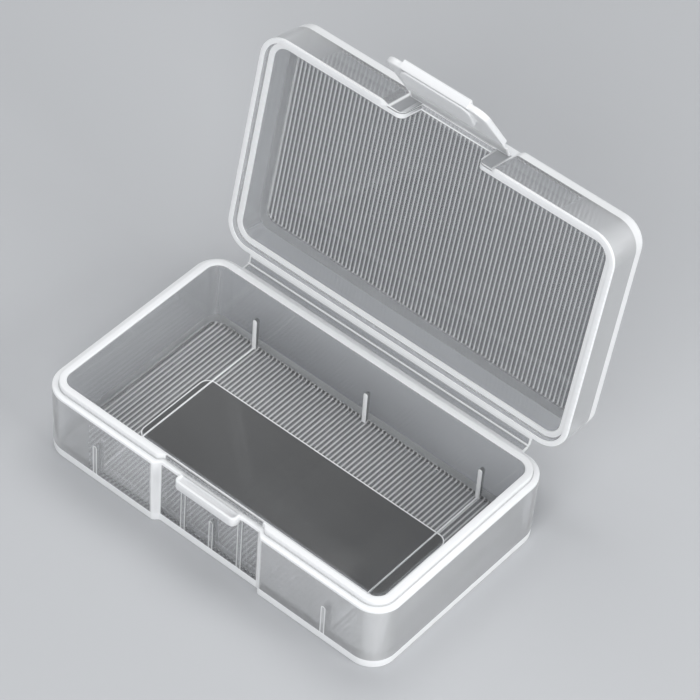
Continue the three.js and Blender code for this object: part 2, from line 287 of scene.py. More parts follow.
def moulded_plastic(name, tone, haze, plate=None, reed_light=(0, 0), marked=False):
    """Natural polypropylene: clear enough to see through, milkier where light gathers in its rims.
    The reeds' light is painted in highlight lines on the plate's smooth face, whose height in the closed case
    is
    given: reed_light says how bright the painted lines are and how dark the painted shade between them is.
    The
    tray is marked with more painted light: its label's outline is painted as a bright line beside the label,
    as the thick plate bends light, and its front wall has painted light where the ribs and the strips stand
    behind it."""
    material = bpy.data.materials.new(name)
    material.use_nodes = True
    tree = material.node_tree
    tree.nodes.clear()
    nodes = Nodes(tree)
    place = nodes.add("ShaderNodeTexCoord").outputs["Object"]
    edge = nodes.value(nodes.add("ShaderNodeAttribute", {"attribute_name": "edge"}).outputs["Fac"])
    ridge = nodes.value(nodes.add("ShaderNodeAttribute", {"attribute_name": "ridge"}).outputs["Fac"])
    flow_noise = nodes.add("ShaderNodeTexNoise", Vector=place, Scale=flow_scale, Detail=3)
    flow = nodes.value(flow_noise.outputs["Fac"])
    peel = nodes.add("ShaderNodeTexNoise", Vector=place, Scale=peel_scale, Detail=2).outputs["Fac"]
    milk = haze + flow_haze * (flow - 0.5) + edge * (1 - haze) + ridge_haze * ridge
    if plate is not None:
        closed = nodes.add("ShaderNodeAttribute", {"attribute_name": "closed_place"}).outputs["Vector"]
        apart = nodes.add("ShaderNodeSeparateXYZ", Vector=closed)
        x, y, z = [nodes.value(apart.outputs[axis]) for axis in "XYZ"]
        on_plate = 1 - abs(z - plate).ramp(*plate_reach)
        half_length = case_length / 2 - reed_border
        half_width = case_width / 2 - reed_border
        panel = rounded_panel_distance(x, y, half_length, half_width, reed_corner)
        reeded = on_plate * (1 - panel.ramp(*reed_border_fade))
        if marked:
            # Painted light: a bright line along the label's outline on the plate's top face, shifted from the
            # real edge below as the plate bends light.
            label = rounded_panel_distance(
                x - label_shift[0], y - label_shift[1], label_size[0] / 2, label_size[1] / 2, label_corner,
            )
            reeded = reeded * label.ramp(*reed_label_fade)
            milk = milk + on_plate * (1 - abs(label).ramp(*label_line))
        # Painted highlight lines along the reeds on the plate's smooth face, and painted shade that darkens
        # the plate's tone between them.
        line = (x / reed_pitch * (2 * math.pi)).math("COSINE").ramp(*reed_line)
        milk = milk + reed_light[0] * reeded * line
        shade = 1 - reed_light[1] * reeded * (1 - line)
        shaded = nodes.add("ShaderNodeVectorMath", {"operation": "SCALE"}, _0=tone[:3], Scale=shade)
        tone = shaded.outputs[0]
    if marked:
        # Painted light: the ribs and the strips behind the front wall are drawn on its face as bright
        # outlines and fills, a little shifted from them.
        along = abs(x - mark_shift)
        from_rib = along.at_most(abs(along - rib_spacing))
        rib_mark = rounded_panel_distance(
            from_rib, z - mark_top / 2, rib_thickness / 2, mark_top / 2, rib_thickness / 2,
        )
        strip_mark = rounded_panel_distance(
            along - strip_spacing, z - strip_top / 2, strip_thickness / 2, strip_top / 2, rib_thickness / 3,
        )
        mark = rib_mark.at_most(strip_mark)
        front = 1 - y.ramp(*mark_front)
        milk = milk + painted_rib_outline_haze * front * (1 - abs(mark).ramp(*painted_rib_outline))
        milk = milk + painted_rib_fill_haze * front * (1 - mark.ramp(*painted_rib_fill))
    bump = nodes.add("ShaderNodeBump", Strength=peel_strength, Distance=peel_height, Height=peel)
    clear = nodes.add(
        "ShaderNodeBsdfPrincipled", Base_Color=tone, Roughness=flow_roughness + flow_roughness * flow,
        IOR=refraction, Transmission_Weight=1.0, Normal=bump.outputs[0],
    )
    milky = nodes.add(
        "ShaderNodeBsdfPrincipled", Base_Color=milky_tone, Roughness=milky_roughness, IOR=refraction,
        Transmission_Weight=milky_transmission, Normal=bump.outputs[0],
    )
    mixed = nodes.add(
        "ShaderNodeMixShader", Fac=milk.at_least(0).at_most(1), _1=clear.outputs[0], _2=milky.outputs[0],
    )
    out = nodes.add("ShaderNodeOutputMaterial")
    tree.links.new(mixed.outputs[0], out.inputs["Surface"])
    return material


bend_steps = 3


def soften(profile):
    """Rounds each corner of a profile. Its points hold the inset from the case's plan and the
    height, the y and the height in the recess, the corner's radius, the edge value and the side."""
    points = []
    for index, here in enumerate(profile):
        radius = here[4]
        if radius == 0 or index in (0, len(profile) - 1):
            points.append(here)
            continue
        arms = []
        for other in (profile[index - 1], profile[index + 1]):
            reach = math.hypot(other[0] - here[0], other[1] - here[1])
            share = min(radius / reach, 0.5)
            arms.append([a + (b - a) * share for a, b in zip(here[:4], other[:4])])
        for step in range(bend_steps + 1):
            t = step / bend_steps
            bend = [
                (1 - t) ** 2 * a + 2 * t * (1 - t) * b + t * t * c
                for a, b, c in zip(arms[0], here[:4], arms[1])
            ]
            points.append((*bend, radius, here[5], here[6]))
    return points


def smooth_step(value, low, high):
    """0 at low, 1 at high and an S curve between them."""
    t = min(max((value - low) / (high - low), 0), 1)
    return t * t * (3 - 2 * t)


# Where the front wall has its points, in millimetres from its middle.
front_stations = [0, 2.6, 5.2, 7, 7.99, 8.15, 8.22, 8.35, 8.6, 8.95, 9.3, 9.65, 10.3, 10.8, 11.1, 11.3]
front_stations += [11.5, 11.7, 11.9, 12.1, 12.3, 12.7, 14, 18, 24]
corner_steps = 12
least_corner = 0.6 * mm


def perimeter_places():
    """Stations round the case: ("front", x) along the front wall, ("corner", (corner, share))."""
    front = [-x * mm for x in reversed(front_stations[1:])] + [x * mm for x in front_stations]
    places = [("front", x) for x in front]
    for corner in range(4):
        places += [("corner", (corner, step / corner_steps)) for step in range(corner_steps + 1)]
    return places


def arc_point(centre_x, centre_y, radius, angle):
    """A point of an arc, from its centre, its radius and an angle in degrees."""
    turn = math.radians(angle)
    return centre_x + radius * math.cos(turn), centre_y + radius * math.sin(turn)


def ring(places, inset, height, recess_y, recess_height, notch=None):
    """One level round the shell, counter-clockwise from the front wall."""
    radius = max(corner_radius - inset, least_corner)
    half_x = case_length / 2 - inset
    half_y = case_width / 2 - inset
    corners = [(1, -1, -90), (1, 1, 0), (-1, 1, 90), (-1, -1, 180)]
    points = []
    for kind, value in places:
        if kind == "front":
            out = smooth_step(abs(value), recess_half, recess_half + jog_run)
            y = recess_y + (-half_y - recess_y) * out
            z = recess_height + (height - recess_height) * out
            if notch is not None:
                z = max(z, notch(abs(value)))
            points.append((value, y, z))
        else:
            corner, share = value
            sign_x, sign_y, start = corners[corner]
            centre = (sign_x * (half_x - radius), sign_y * (half_y - radius))
            points.append((*arc_point(*centre, radius, start + 90 * share), height))
    return points


def skin(rings, edges, name):
    """Joins rings into a wall; edges holds the edge value of each point: how far the plastic is
    milky there, from 0 as elsewhere to 1, or clearer below 0. Both ends stay open."""
    mesh = bpy.data.meshes.new(name)
    count = len(rings[0])
    faces = []
    for level in range(len(rings) - 1):
        low = level * count
        high = low + count
        for i in range(count):
            j = (i + 1) % count
            faces.append((low + i, low + j, high + j, high + i))
    mesh.from_pydata([point for points in rings for point in points], [], faces)
    attribute = mesh.attributes.new("edge", "FLOAT", "POINT")
    attribute.data.foreach_set("value", edges)
    mesh.attributes.new("ridge", "FLOAT", "POINT")
    return mesh


clear_limit = 0.3
line_light = 0.95
line_fade = 0.2 * mm
recess_clear = -0.2
rear_clear = -0.14
corner_glow = 0.22
tray_end_haze = 0.14
tray_front_haze = (0, 0.05)


def glow(places, profile, jog_glow_end, recess_edge, end_haze, seat_from=0, front_haze=(0, 0)):
    """The edge value of each point: its level's own, and the light that gathers up both jogs and the
    corners outside. Clear walls take recess_edge in the recess, front_haze left and right of it,
    and end_haze at the ends. A seat is bright only further than seat_from from the middle."""
    jog_middle = (recess_half + jog_glow_end) / 2
    jog_reach = (jog_glow_end - recess_half) / 2
    haze_left, haze_right = front_haze
    values = []
    for point in profile:
        level_edge, side = point[5], point[6]
        outer_wall = side == "out" and level_edge < clear_limit
        recessed = side == "riser" or (side != "plate" and level_edge < clear_limit)
        for kind, value in places:
            own = level_edge
            line = 0
            if kind == "front":
                away = abs(value)
                if side == "out":
                    line = min(max(1 - (abs(away - jog_middle) - jog_reach) / line_fade, 0), 1)
                if away < recess_half and recessed:
                    own = recess_edge
                elif away > recess_half + jog_run and outer_wall:
                    own += haze_left if value < 0 else haze_right
                elif away < seat_from and side == "seat":
                    own = 0
            elif outer_wall:
                corner, share = value
                behind = (corner == 1 and share > 0.5) or (corner == 2 and share < 0.5)
                own += rear_clear if behind else end_haze
                own += corner_glow * (1 - abs(2 * share - 1))
            values.append(own + max(line_light - own, 0) * line)
    return values


sharp_angle = math.radians(35)


def finish_mesh(mesh, name, material):
    """Makes the piece's object, with smooth faces parted at sharp angles."""
    mesh.materials.clear()
    mesh.materials.append(material)
    mesh.polygons.foreach_set("use_smooth", [True] * len(mesh.polygons))
    mesh.set_sharp_from_angle(angle=sharp_angle)
    piece = bpy.data.objects.new(name, mesh)
    bpy.context.collection.objects.link(piece)
    return piece


def field_tree(name, sizes):
    """An empty Geometry Nodes tree with named size inputs."""
    tree = bpy.data.node_groups.new(name, "GeometryNodeTree")
    tree.interface.new_socket("Geometry", in_out="INPUT", socket_type="NodeSocketGeometry")
    for size in sizes:
        tree.interface.new_socket(size, in_out="INPUT", socket_type="NodeSocketFloat")
    tree.interface.new_socket("Surface", in_out="INPUT", socket_type="NodeSocketMaterial")
    tree.interface.new_socket("Geometry", in_out="OUTPUT", socket_type="NodeSocketGeometry")
    return tree


def run_tree(tree, mesh, values, material):
    """Runs a tree on a mesh with its inputs set, and gives the result as a plain mesh."""
    carrier = bpy.data.objects.new(tree.name, mesh)
    bpy.context.collection.objects.link(carrier)
    modifier = carrier.modifiers.new("nodes", "NODES")
    modifier.node_group = tree
    for item in tree.interface.items_tree:
        if item.in_out != "INPUT":
            continue
        if item.name in values:
            modifier[item.identifier] = values[item.name]
        elif item.name == "Surface":
            modifier[item.identifier] = material
    bpy.context.view_layer.update()
    graph = bpy.context.evaluated_depsgraph_get()
    result = bpy.data.meshes.new_from_object(carrier.evaluated_get(graph), depsgraph=graph)
    bpy.data.objects.remove(carrier)
    return result


reed_fade = 0.1 * mm
trim_reach = 0.02 * mm


def reeded_panel_tree():
    """A flat panel whose middle stands in fine reeds along Y, smooth round its border and label."""
    sizes = ["Length", "Width", "Pitch", "Depth", "Corner", "Columns", "Rows"]
    sizes += ["Label Length", "Label Width", "Label Corner"]
    tree = field_tree("reeded_panel", sizes)
    nodes = Nodes(tree)
    entry = nodes.add("NodeGroupInput")
    size = {name: nodes.value(entry.outputs[name]) for name in sizes}
    grid = nodes.add(
        "GeometryNodeMeshGrid", Size_X=size["Length"], Size_Y=size["Width"],
        Vertices_X=size["Columns"], Vertices_Y=size["Rows"],
    )
    apart = nodes.add("ShaderNodeSeparateXYZ", Vector=nodes.add("GeometryNodeInputPosition").outputs[0])
    x = nodes.value(apart.outputs["X"])
    y = nodes.value(apart.outputs["Y"])
    panel = rounded_panel_distance(x, y, size["Length"] / 2, size["Width"] / 2, size["Corner"])
    label = rounded_panel_distance(
        x, y, size["Label Length"] / 2, size["Label Width"] / 2, size["Label Corner"],
    )
    reeded = (1 - panel.ramp(-2 * reed_fade, -reed_fade)) * label.ramp(0, reed_fade)
    wave = 0.5 + 0.5 * (x / size["Pitch"] * (2 * math.pi)).math("COSINE")
    lift = nodes.add("ShaderNodeCombineXYZ", Z=reeded * wave * size["Depth"])
    outside = panel.math("GREATER_THAN", trim_reach)
    trimmed = nodes.add("GeometryNodeDeleteGeometry", Geometry=grid.outputs["Mesh"], Selection=outside)
    moved = nodes.add("GeometryNodeSetPosition", Geometry=trimmed.outputs[0], Offset=lift.outputs[0])
    stored = nodes.add(
        "GeometryNodeStoreNamedAttribute", {"data_type": "FLOAT", "domain": "POINT"},
        Geometry=moved.outputs[0], Name="ridge", Value=reeded * (1 - wave) * (1 - wave),
    )
    real = nodes.add("GeometryNodeRealizeInstances", Geometry=stored.outputs[0])
    surfaced = nodes.add(
        "GeometryNodeSetMaterial", Geometry=real.outputs[0], Material=entry.outputs["Surface"],
    )
    tree.links.new(surfaced.outputs[0], nodes.add("NodeGroupOutput").inputs[0])
    return tree


reed_tree = reeded_panel_tree()
reed_columns = 520
reed_rows = 110
panel_edge = -0.25
join_reach = 0.002 * mm
places = perimeter_places()
station_count = len(places)


def reeded_panel(label, depth, material):
    """The reeded face of a plate; label holds the smooth panel's length, width and corner."""
    values = {
        "Length": case_length - 2 * reed_border, "Width": case_width - 2 * reed_border,
        "Pitch": reed_pitch, "Depth": depth, "Corner": reed_corner,
        "Columns": float(reed_columns), "Rows": float(reed_rows),
        "Label Length": label[0], "Label Width": label[1], "Label Corner": label[2],
    }
    return run_tree(reed_tree, bpy.data.meshes.new("panel_start"), values, material)


def close_shell(wall, panel, outer_z, name):
    """Closes a shell: a plain inner face on its last ring, and the reeded panel in its outer face,
    at outer_z. Each point keeps its place in the closed case for the material."""
    work = bmesh.new()
    work.from_mesh(wall)
    work.verts.ensure_lookup_table()
    work.faces.new(work.verts[-station_count:])
    first_panel_vertex = len(work.verts)
    work.from_mesh(panel)
    work.verts.ensure_lookup_table()
    panel_vertices = work.verts[first_panel_vertex:]
    for vertex in panel_vertices:
        vertex.co.z += outer_z
    border = [line for line in work.edges if line.is_boundary]
    bmesh.ops.triangle_fill(work, use_beauty=True, edges=border)
    edge = work.verts.layers.float["edge"]
    for vertex in panel_vertices:
        vertex[edge] = panel_edge
    bmesh.ops.remove_doubles(work, verts=work.verts, dist=join_reach)
    bmesh.ops.recalc_face_normals(work, faces=work.faces)
    mesh = bpy.data.meshes.new(name)
    work.to_mesh(mesh)
    work.free()
    closed = mesh.attributes.new("closed_place", "FLOAT_VECTOR", "POINT")
    closed.data.foreach_set("vector", [value for vertex in mesh.vertices for value in vertex.co])
    return mesh


tray_reed_light = (0.46, 0.35)
tray_profile = [
    (1.1 * mm, 0, recess_face + 0.75 * mm, 0, 0, 0.8, "in"),
    (0.2 * mm, 0, recess_face, 0, 0.55 * mm, 1, "out"),
    (0.16 * mm, 1.95 * mm, recess_face, 1.95 * mm, 0, 1, "out"),
    (0.15 * mm, 2.1 * mm, recess_face, 2.1 * mm, 0, -0.03, "out"),
    (0, 13.8 * mm, recess_face, 13.8 * mm, 0, -0.03, "out"),
    (0, 14.5 * mm, recess_face, 14.5 * mm, 0, 0, "out"),
    (0, 14.65 * mm, recess_face, 14.65 * mm, 0, 0.95, "out"),
    (0, tray_height, recess_face, tray_height, 0.2 * mm, 1, "out"),
    (1.0 * mm, tray_height, recess_face + 0.85 * mm, tray_height, 0, 0.95, "in"),
    (1.1 * mm, tray_height, recess_face + 0.92 * mm, tray_height, 0, 0.5, "in"),
    (1.2 * mm, tray_height, recess_face + 1.0 * mm, tray_height, 0.05 * mm, 0.45, "in"),
    (1.2 * mm, 15.3 * mm, recess_face + 1.0 * mm, 15.3 * mm, 0, 0.55, "riser"),
    (1.2 * mm, 15.45 * mm, recess_face + 1.0 * mm, 15.45 * mm, 0, 0.8, "riser"),
    (1.2 * mm, lip_top, recess_face + 1.0 * mm, lip_top, 0.18 * mm, 0.95, "riser"),
    (2.55 * mm, lip_top, recess_face + 1.45 * mm, lip_top, 0.18 * mm, 0.95, "in"),
    (2.56 * mm, 15.8 * mm, front_face + 2.56 * mm, 15.8 * mm, 0, 0, "in"),
    (2.58 * mm, 15.2 * mm, front_face + 2.58 * mm, 15.2 * mm, 0, -0.22, "in"),
    (3.0 * mm, floor_thickness, front_face + 3.0 * mm, floor_thickness, 0.5 * mm, -0.22, "in"),
    (4.2 * mm, floor_thickness, front_face + 4.2 * mm, floor_thickness, 0, -0.13, "plate"),
]


def make_tray():
    material = moulded_plastic(
        "tray_polypropylene", clear_tone, shell_haze, floor_thickness, tray_reed_light, marked=True,
    )
    profile = soften(tray_profile)
    rings = [ring(places, *point[:4]) for point in profile]
    edges = glow(
        places, profile, recess_half + jog_run, recess_clear, tray_end_haze, front_haze=tray_front_haze,
    )
    panel = reeded_panel((*label_size, label_corner), reed_depth, material)
    mesh = close_shell(skin(rings, edges, "tray_wall"), panel, 0, "tray_body")
    tray = finish_mesh(mesh, "tray_body", material)
    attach(tray, "tray")
    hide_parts("base_tray")


make_tray()


# Ribs inside the tray, moulded in one shot with it: round-headed upright fins that keep the cells
# off both long walls, a fine line across the floor near each end, and two flat strips on the front
# wall behind the catch.
rib_front = 0.8 * mm
rib_reach = 0.7 * mm
rib_shift = 0.35 * mm
rib_nose = 0.2 * mm
rib_haze = 0.3
rib_clear = -0.2
floor_line_width = 0.34 * mm
floor_line_height = 0.24 * mm
floor_line_sink = 0.05 * mm
floor_line_steps = 6
strip_front = 0.8 * mm
strip_reach = 0.35 * mm
strip_sink = 0.2 * mm
fin_sink = 0.3 * mm
fin_head = 0.25 * mm
fin_taper = 0.1 * mm
foot_sink = 0.1 * mm
bar_gap = 0.1 * mm
fin_bevel = 0.14 * mm
head_steps = 8
inner_wall = case_width / 2 - 3.0 * mm


def row_tree():
    """A row of like pieces along X, each turned to face out of its wall."""
    tree = field_tree("row_of_ribs", ["Count", "Spacing", "Wall Y", "Turn"])
    nodes = Nodes(tree)
    entry = nodes.add("NodeGroupInput")
    count = nodes.value(entry.outputs["Count"])
    spacing = nodes.value(entry.outputs["Spacing"])
    start = nodes.add("ShaderNodeCombineXYZ", X=(1 - count) * spacing / 2, Y=entry.outputs["Wall Y"])
    step = nodes.add("ShaderNodeCombineXYZ", X=spacing)
    line = nodes.add(
        "GeometryNodeMeshLine", Count=count, Start_Location=start.outputs[0], Offset=step.outputs[0],
    )
    turn = nodes.add("ShaderNodeCombineXYZ", Z=entry.outputs["Turn"])
    placed = nodes.add(
        "GeometryNodeInstanceOnPoints", Points=line.outputs[0], Instance=entry.outputs["Geometry"],
        Rotation=turn.outputs[0],
    )
    real = nodes.add("GeometryNodeRealizeInstances", Geometry=placed.outputs[0])
    surfaced = nodes.add(
        "GeometryNodeSetMaterial", Geometry=real.outputs[0], Material=entry.outputs["Surface"],
    )
    tree.links.new(surfaced.outputs[0], nodes.add("NodeGroupOutput").inputs[0])
    return tree


rib_row = row_tree()


def mark_edges(mesh, value_at):
    """Gives each point its edge value, from its place."""
    attribute = mesh.attributes.new("edge", "FLOAT", "POINT")
    attribute.data.foreach_set("value", [value_at(vertex.co) for vertex in mesh.vertices])


def fin(root, front, top, reach, name):
    """One upright fin with a round head, on a wall whose face is y 0 and which it leaves towards -Y."""
    foot = floor_thickness - foot_sink
    work = bmesh.new()
    rings = []
    for y, thickness in ((fin_sink, root), (fin_head - reach, front + fin_taper), (-reach, front)):
        half = thickness / 2
        outline = [(-half, foot), (half, foot)]
        outline += [
            arc_point(0, top - root / 2, half, 180 * step / head_steps) for step in range(head_steps + 1)
        ]
        rings.append([work.verts.new((x, y, z)) for x, z in outline])
    count = len(rings[0])
    for back, fore in zip(rings, rings[1:]):
        for i in range(count):
            j = (i + 1) % count
            work.faces.new((back[i], back[j], fore[j], fore[i]))
    work.faces.new(rings[0])
    head = work.faces.new(rings[-1])
    bmesh.ops.bevel(
        work, geom=list(head.edges), offset=min(fin_bevel, reach / 3), segments=2, affect="EDGES",
        profile=0.5,
    )
    bmesh.ops.recalc_face_normals(work, faces=work.faces)
    mesh = bpy.data.meshes.new(name)
    work.to_mesh(mesh)
    work.free()
    return mesh


def floor_bar(half_length, name):
    """A fine half-round line across the floor."""
    work = bmesh.new()
    rows = []
    for end in (-1, 1):
        row = []
        for step in range(floor_line_steps + 1):
            angle = math.pi * step / floor_line_steps
            x = floor_line_width / 2 * math.cos(angle)
            z = floor_thickness - floor_line_sink + floor_line_height * math.sin(angle)
            row.append(work.verts.new((x, end * half_length, z)))
        rows.append(row)
    near, far = rows
    for i in range(floor_line_steps):
        work.faces.new((near[i], near[i + 1], far[i + 1], far[i]))
    work.faces.new((near[0], far[0], far[-1], near[-1]))
    for row in rows:
        work.faces.new(row)
    bmesh.ops.recalc_face_normals(work, faces=work.faces)
    mesh = bpy.data.meshes.new(name)
    work.to_mesh(mesh)
    work.free()
    return mesh


rib_plastic = moulded_plastic("rib_polypropylene", clear_tone, rib_haze)


def make_row(name, start, count, spacing, wall_y, turn, bright_from):
    """A row of like pieces, bright where they stand out of their wall further than bright_from."""
    mark_edges(start, lambda place: 1 if -place.y > bright_from else rib_clear)
    values = {"Count": float(count), "Spacing": spacing, "Wall Y": wall_y, "Turn": turn}
    row = finish_mesh(run_tree(rib_row, start, values, rib_plastic), name, rib_plastic)
    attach(row, "tray")


for name, shift, wall_y, turn in (
    ("rear_wall_ribs", rib_shift, inner_wall, 0.0), ("front_wall_ribs", -rib_shift, -inner_wall, math.pi),
):
    rib = fin(rib_thickness, rib_front, rib_top, rib_reach, "rib")
    rib.transform(Matrix.Translation((shift, 0, 0)))
    make_row(name, rib, 3, rib_spacing, wall_y, turn, rib_reach - rib_nose)
strip = fin(strip_thickness, strip_front, strip_top, strip_reach, "strip")
nowhere = case_width
make_row("front_wall_strips", strip, 2, 2 * strip_spacing, -inner_wall - strip_sink, math.pi, nowhere)
bar = floor_bar(inner_wall - bar_gap, "floor_line")
bar.transform(Matrix.Translation((rib_shift, 0, 0)))
everywhere = -case_width
make_row("floor_lines", bar, 2, 2 * rib_spacing, 0.0, 0.0, everywhere)


# The catch ledge: a small dished shelf on the recessed front wall that the latch hooks under, with
# a raised lip round its front and ends. It is moulded with the tray.
ledge_half = 6.8 * mm
ledge_front = recess_face - 1.75 * mm
ledge_bottom = tray_height - 1.5 * mm
ledge_lip_top = tray_height + 0.4 * mm
ledge_corner = 1.1 * mm
ledge_least_corner = 0.15 * mm
ledge_dish = tray_height - 0.3 * mm
ledge_wall = recess_face + 0.15 * mm
ledge_tone = (0.84, 0.85, 0.86, 1)
ledge_haze = 0.7
arc_steps = 8


def quarter_arc(centre_x, centre_y, radius, start, steps=arc_steps):
    """Points of a quarter turn from an angle in degrees."""
    return [arc_point(centre_x, centre_y, radius, start + 90 * step / steps) for step in range(steps + 1)]


def ledge_ring(inset, back):
    """The ledge's plan drawn in by inset at its front and ends, up to a line at back on the wall."""
    radius = max(ledge_corner - inset, ledge_least_corner)
    low = ledge_front + inset
    half = ledge_half - inset
    points = [(-half, back)]
    for centre_x, start in ((-half + radius, 180), (half - radius, 270)):
        points += quarter_arc(centre_x, low + radius, radius, start)
    points.append((half, back))
    points += [(half * share, back) for share in (0.6, 0.2, -0.2, -0.6)]
    return points


def closed_skin(rings, edges, name, turn=None):
    """A skin with flat faces on its first and last ring, turned from the closed case to its place."""
    mesh = skin(rings, edges, name)
    count = len(rings[0])
    work = bmesh.new()
    work.from_mesh(mesh)
    work.verts.ensure_lookup_table()
    work.faces.new(work.verts[:count])
    work.faces.new(work.verts[-count:])
    bmesh.ops.remove_doubles(work, verts=work.verts, dist=join_reach)
    bmesh.ops.recalc_face_normals(work, faces=work.faces)
    work.to_mesh(mesh)
    work.free()
    if turn is not None:
        mesh.transform(turn)
    return mesh


def level_edges(levels, rings):
    """The edge value of each point, from levels that end in theirs."""
    return [level[-1] for level in levels for _ in rings[0]]


# The ledge from its underside up over the lip and down into the dish: inset, height, the line on
# the wall, edge value.
ledge_levels = [
    (0.2 * mm, ledge_bottom, ledge_wall, 0.5),
    (0.06 * mm, ledge_bottom + 0.06 * mm, ledge_wall, 0.7),
    (0, ledge_bottom + 0.2 * mm, ledge_wall, 0.45),
    (0, ledge_lip_top - 0.2 * mm, ledge_wall, 0.8),
    (0.06 * mm, ledge_lip_top - 0.06 * mm, ledge_wall, 1),
    (0.2 * mm, ledge_lip_top, ledge_wall, 1),
    (0.4 * mm, ledge_lip_top, ledge_wall, 1),
    (0.52 * mm, ledge_lip_top - 0.08 * mm, ledge_wall, 0.9),
    (0.62 * mm, ledge_dish + 0.1 * mm, ledge_wall - 0.2 * mm, 0.4),
    (0.8 * mm, ledge_dish, ledge_wall - 0.35 * mm, 0.25),
]


def make_ledge():
    rings = [[(x, y, z) for x, y in ledge_ring(inset, back)] for inset, z, back, _ in ledge_levels]
    mesh = closed_skin(rings, level_edges(ledge_levels, rings), "ledge")
    material = moulded_plastic("ledge_polypropylene", ledge_tone, ledge_haze)
    ledge = finish_mesh(mesh, "catch_ledge_shelf", material)
    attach(ledge, "tray")
    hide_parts("catch_ledge")


make_ledge()


# The main hinge: a thin clear film of the same plastic joins the two rims along the back. Each leaf
# is thick at its root, and a fine bead runs along the fold between them.
hinge_fold = Vector((0, case_width / 2 + 1.65 * mm, tray_height))
hinge_half = 32.2 * mm
film_thickness = 0.25 * mm
fold_gap = 0.15 * mm
leaf_lap = 0.12 * mm
fold_clear = 0.1 * mm
bead_radius = 0.16 * mm
bead_sides = 10
bead_edge = 0.9
film_tone = (0.66, 0.67, 0.685, 1)
film_haze = 0.06
lid_open = math.radians(100.6)
lid_turn = (
    Matrix.Translation(hinge_fold) @ Matrix.Rotation(-lid_open, 4, "X") @ Matrix.Translation(-hinge_fold)
)
film_plastic = moulded_plastic("hinge_film_polypropylene", film_tone, film_haze)

# The ends of a run: distance from the end, share of the section there, least edge value.
end_levels = [(0, 0.8, 0.9), (0.06 * mm, 1, 0.9), (0.3 * mm, 1, 0.9), (0.4 * mm, 1, 0)]


def run_along_x(profile, half_length, name, turn=None):
    """A closed profile of (y, z, edge) run along X, with its ends a little drawn in and bright."""
    middle_y = sum(point[0] for point in profile) / len(profile)
    middle_z = sum(point[1] for point in profile) / len(profile)
    rings = []
    edges = []
    half = [(half_length - inset, draw, light) for inset, draw, light in end_levels]
    for x, draw, light in [(-x, draw, light) for x, draw, light in half] + half[::-1]:
        rings.append([
            (x, middle_y + (y - middle_y) * draw, middle_z + (z - middle_z) * draw) for y, z, _ in profile
        ])
        edges += [max(point[2], light) for point in profile]
    return closed_skin(rings, edges, name, turn)


def fold_bead(half_length, place, name, turn=None):
    """A fine round bead along a fold line through place."""
    profile = [
        (*arc_point(place.y, place.z, bead_radius, 360 * side / bead_sides), bead_edge)
        for side in range(bead_sides)
    ]
    return run_along_x(profile, half_length, name, turn)


def leaf_profile(side):
    """The leaf's section in the closed case: side is -1 under the closing plane on the tray and 1
    over it on the lid."""
    root = case_width / 2 - leaf_lap
    end = hinge_fold.y - fold_clear
    flat = tray_height + side * fold_gap
    thick = flat + side * 0.5 * mm
    thin = flat + side * film_thickness
    return [
        (root, flat, 0.9), (root + 0.35 * mm, flat, 0.8), (root + 0.5 * mm, flat, 0),
        (end - 0.25 * mm, flat, 0), (end, flat, 0.3), (end, thin, 0.3), (end - 0.25 * mm, thin, 0),
        (root + 0.85 * mm, thin, 0), (root + 0.6 * mm, thin + side * 0.08 * mm, 0.6),
        (root + 0.35 * mm, thick, 0.9), (root, thick, 0.9),
    ]


def make_hinge():
    low_leaf = run_along_x(leaf_profile(-1), hinge_half, "low_leaf")
    low = finish_mesh(low_leaf, "tray_hinge_film", film_plastic)
    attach(low, "tray")
    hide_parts("base_hinge_leaf")
    high_leaf = run_along_x(leaf_profile(1), hinge_half, "high_leaf", lid_turn)
    high = finish_mesh(high_leaf, "lid_hinge_film", film_plastic)
    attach(high, "lid")
    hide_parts("lid_hinge_leaf")
    bead_mesh = fold_bead(hinge_half, hinge_fold, "bead")
    bead = finish_mesh(bead_mesh, "hinge_fold_bead", film_plastic)
    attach(bead, "tray")


make_hinge()


